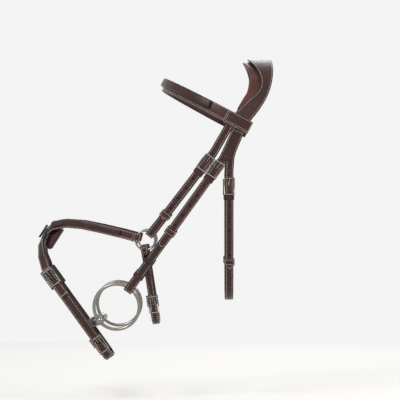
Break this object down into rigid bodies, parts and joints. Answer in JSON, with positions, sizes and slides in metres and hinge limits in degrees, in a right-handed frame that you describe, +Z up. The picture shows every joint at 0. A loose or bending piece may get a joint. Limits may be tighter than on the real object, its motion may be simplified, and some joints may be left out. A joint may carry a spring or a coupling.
{
  "type": "snaffle bridle",
  "caption": "Leather snaffle bridle: padded crown, browband, cheekpieces, throatlatch, crossed noseband with chin and jaw straps, and a jointed loose-ring bit.",
  "frame": {"origin": "middle of the crown's underside, where the bridle rests on the poll", "axes": "+X to the horse's rear, -Y to its near (left) side, +Z up"},
  "size_m": [0.3577, 0.2206, 0.4591],
  "materials": {
    "bridle_leather": "waxed dark brown bridle leather, satin",
    "padded_leather": "soft dark brown leather over foam, satin",
    "lining_leather": "reddish brown lining leather, satin",
    "stainless_steel": "polished stainless steel, slightly dulled",
    "black_rubber": "matte black rubber"
  },
  "bodies": {
    "root": {"crown_padding": "lining_leather", "crownpiece": "bridle_leather", "browband_strap": "bridle_leather", "browband_roll": "padded_leather", "near_noseband_ring": "stainless_steel", "far_noseband_ring": "stainless_steel", "near_noseband_hanger": "bridle_leather", "far_noseband_hanger": "bridle_leather", "near_cheekpiece": "bridle_leather", "far_cheekpiece": "bridle_leather", "near_hook_stud": "stainless_steel", "far_hook_stud": "stainless_steel", "throatlatch_strap": "bridle_leather", "near_noseband_hanger_buckle": "stainless_steel", "far_noseband_hanger_buckle": "stainless_steel", "near_cheekpiece_buckle": "stainless_steel", "far_cheekpiece_buckle": "stainless_steel", "near_throatlatch_buckle": "stainless_steel", "far_throatlatch_buckle": "stainless_steel", "near_fixed_keepers": "bridle_leather", "far_fixed_keepers": "bridle_leather", "near_noseband_strap": "bridle_leather", "far_noseband_strap": "bridle_leather", "near_noseband_roll": "padded_leather", "far_noseband_roll": "padded_leather", "crossing_patch": "bridle_leather", "nose_pad": "padded_leather", "near_chin_strap": "bridle_leather", "far_chin_strap": "bridle_leather", "near_jaw_strap": "bridle_leather", "far_jaw_strap": "bridle_leather", "near_noseband_buckle": "stainless_steel", "far_noseband_buckle": "stainless_steel", "jaw_buckle": "stainless_steel", "chin_buckle": "stainless_steel", "buckle_guards": "padded_leather"},
    "near_noseband_hanger_tongue": {"near_noseband_hanger_tongue": "stainless_steel"},
    "far_noseband_hanger_tongue": {"far_noseband_hanger_tongue": "stainless_steel"},
    "near_cheekpiece_tongue": {"near_cheekpiece_tongue": "stainless_steel"},
    "far_cheekpiece_tongue": {"far_cheekpiece_tongue": "stainless_steel"},
    "near_throatlatch_tongue": {"near_throatlatch_tongue": "stainless_steel"},
    "far_throatlatch_tongue": {"far_throatlatch_tongue": "stainless_steel"},
    "near_noseband_tongue": {"near_noseband_tongue": "stainless_steel"},
    "far_noseband_tongue": {"far_noseband_tongue": "stainless_steel"},
    "jaw_tongue": {"jaw_tongue": "stainless_steel"},
    "chin_tongue": {"chin_tongue": "stainless_steel"},
    "near_noseband_hanger_runner": {"near_noseband_hanger_runner": "bridle_leather"},
    "far_noseband_hanger_runner": {"far_noseband_hanger_runner": "bridle_leather"},
    "near_cheekpiece_runner": {"near_cheekpiece_runner": "bridle_leather"},
    "far_cheekpiece_runner": {"far_cheekpiece_runner": "bridle_leather"},
    "near_throatlatch_runner": {"near_throatlatch_runner": "bridle_leather"},
    "far_throatlatch_runner": {"far_throatlatch_runner": "bridle_leather"},
    "near_bit_ring": {"near_bit_ring": "stainless_steel"},
    "far_bit_ring": {"far_bit_ring": "stainless_steel"},
    "near_mouthpiece_half": {"near_cannon": "stainless_steel", "near_sleeve": "black_rubber"},
    "far_mouthpiece_half": {"far_cannon": "stainless_steel", "far_sleeve": "black_rubber"}
  },
  "joints": [
    {"name": "near_noseband_hanger_tongue_swing", "type": "hinge", "parent": "root", "child": "near_noseband_hanger_tongue", "pos_m": [-0.0772, -0.09498, -0.14622], "axis": [0.7948, 0.0771, -0.6019], "range_deg": [0, 45]},
    {"name": "far_noseband_hanger_tongue_swing", "type": "hinge", "parent": "root", "child": "far_noseband_hanger_tongue", "pos_m": [-0.0772, 0.09498, -0.14622], "axis": [-0.7948, 0.0771, 0.6019], "range_deg": [0, 45]},
    {"name": "near_cheekpiece_tongue_swing", "type": "hinge", "parent": "root", "child": "near_cheekpiece_tongue", "pos_m": [-0.062, -0.09374, -0.15594], "axis": [0.8139, 0.0738, -0.5763], "range_deg": [0, 45]},
    {"name": "far_cheekpiece_tongue_swing", "type": "hinge", "parent": "root", "child": "far_cheekpiece_tongue", "pos_m": [-0.062, 0.09374, -0.15594], "axis": [-0.8139, 0.0738, 0.5763], "range_deg": [0, 45]},
    {"name": "near_throatlatch_tongue_swing", "type": "hinge", "parent": "root", "child": "near_throatlatch_tongue", "pos_m": [-0.0415, -0.0905, -0.18124], "axis": [1, 0, 0], "range_deg": [0, 45]},
    {"name": "far_throatlatch_tongue_swing", "type": "hinge", "parent": "root", "child": "far_throatlatch_tongue", "pos_m": [-0.0415, 0.0905, -0.18124], "axis": [-1, 0, 0], "range_deg": [0, 45]},
    {"name": "near_noseband_tongue_swing", "type": "hinge", "parent": "root", "child": "near_noseband_tongue", "pos_m": [-0.311, -0.044, -0.32], "axis": [0.81, 0, 0.5864], "range_deg": [0, 45]},
    {"name": "far_noseband_tongue_swing", "type": "hinge", "parent": "root", "child": "far_noseband_tongue", "pos_m": [-0.311, 0.044, -0.32], "axis": [-0.81, 0, -0.5864], "range_deg": [0, 45]},
    {"name": "jaw_tongue_swing", "type": "hinge", "parent": "root", "child": "jaw_tongue", "pos_m": [-0.15649, -0.0548, -0.36053], "axis": [0.9885, 0, 0.1513], "range_deg": [0, 40]},
    {"name": "chin_tongue_swing", "type": "hinge", "parent": "root", "child": "chin_tongue", "pos_m": [-0.23723, -0.0404, -0.4219], "axis": [0.81, 0, 0.5864], "range_deg": [0, 40]},
    {"name": "near_noseband_hanger_runner_slide", "type": "slide", "parent": "root", "child": "near_noseband_hanger_runner", "axis": [0.6068, -0.101, 0.7884], "range_m": [-0.001, 0.06]},
    {"name": "far_noseband_hanger_runner_slide", "type": "slide", "parent": "root", "child": "far_noseband_hanger_runner", "axis": [0.6068, 0.101, 0.7884], "range_m": [-0.001, 0.06]},
    {"name": "near_cheekpiece_runner_slide", "type": "slide", "parent": "root", "child": "near_cheekpiece_runner", "axis": [0.581, -0.1034, 0.8073], "range_m": [-0.02, 0.07]},
    {"name": "far_cheekpiece_runner_slide", "type": "slide", "parent": "root", "child": "far_cheekpiece_runner", "axis": [0.581, 0.1034, 0.8073], "range_m": [-0.02, 0.07]},
    {"name": "near_throatlatch_runner_slide", "type": "slide", "parent": "root", "child": "near_throatlatch_runner", "axis": [0, -0.1271, 0.9919], "range_m": [-0.004, 0.065]},
    {"name": "far_throatlatch_runner_slide", "type": "slide", "parent": "root", "child": "far_throatlatch_runner", "axis": [0, 0.1271, 0.9919], "range_m": [-0.004, 0.065]},
    {"name": "near_bit_ring_spin", "type": "hinge", "parent": "root", "child": "near_bit_ring", "pos_m": [-0.2112, -0.0655, -0.3633], "axis": [0, 1, 0], "continuous": true},
    {"name": "far_bit_ring_spin", "type": "hinge", "parent": "root", "child": "far_bit_ring", "pos_m": [-0.2112, 0.0655, -0.3633], "axis": [0, 1, 0], "continuous": true},
    {"name": "near_mouthpiece_half_swing", "type": "hinge", "parent": "root", "child": "near_mouthpiece_half", "pos_m": [-0.2112, -0.0655, -0.3633], "axis": [0, 1, 0], "range_deg": [-8, 8]},
    {"name": "far_mouthpiece_half_swing", "type": "hinge", "parent": "root", "child": "far_mouthpiece_half", "pos_m": [-0.2112, 0.0655, -0.3633], "axis": [0, 1, 0], "range_deg": [-8, 8]}
  ],
  "couplings": [
    {"joint": "far_mouthpiece_half_swing", "follows": "near_mouthpiece_half_swing", "ratio": 1}
  ]
}
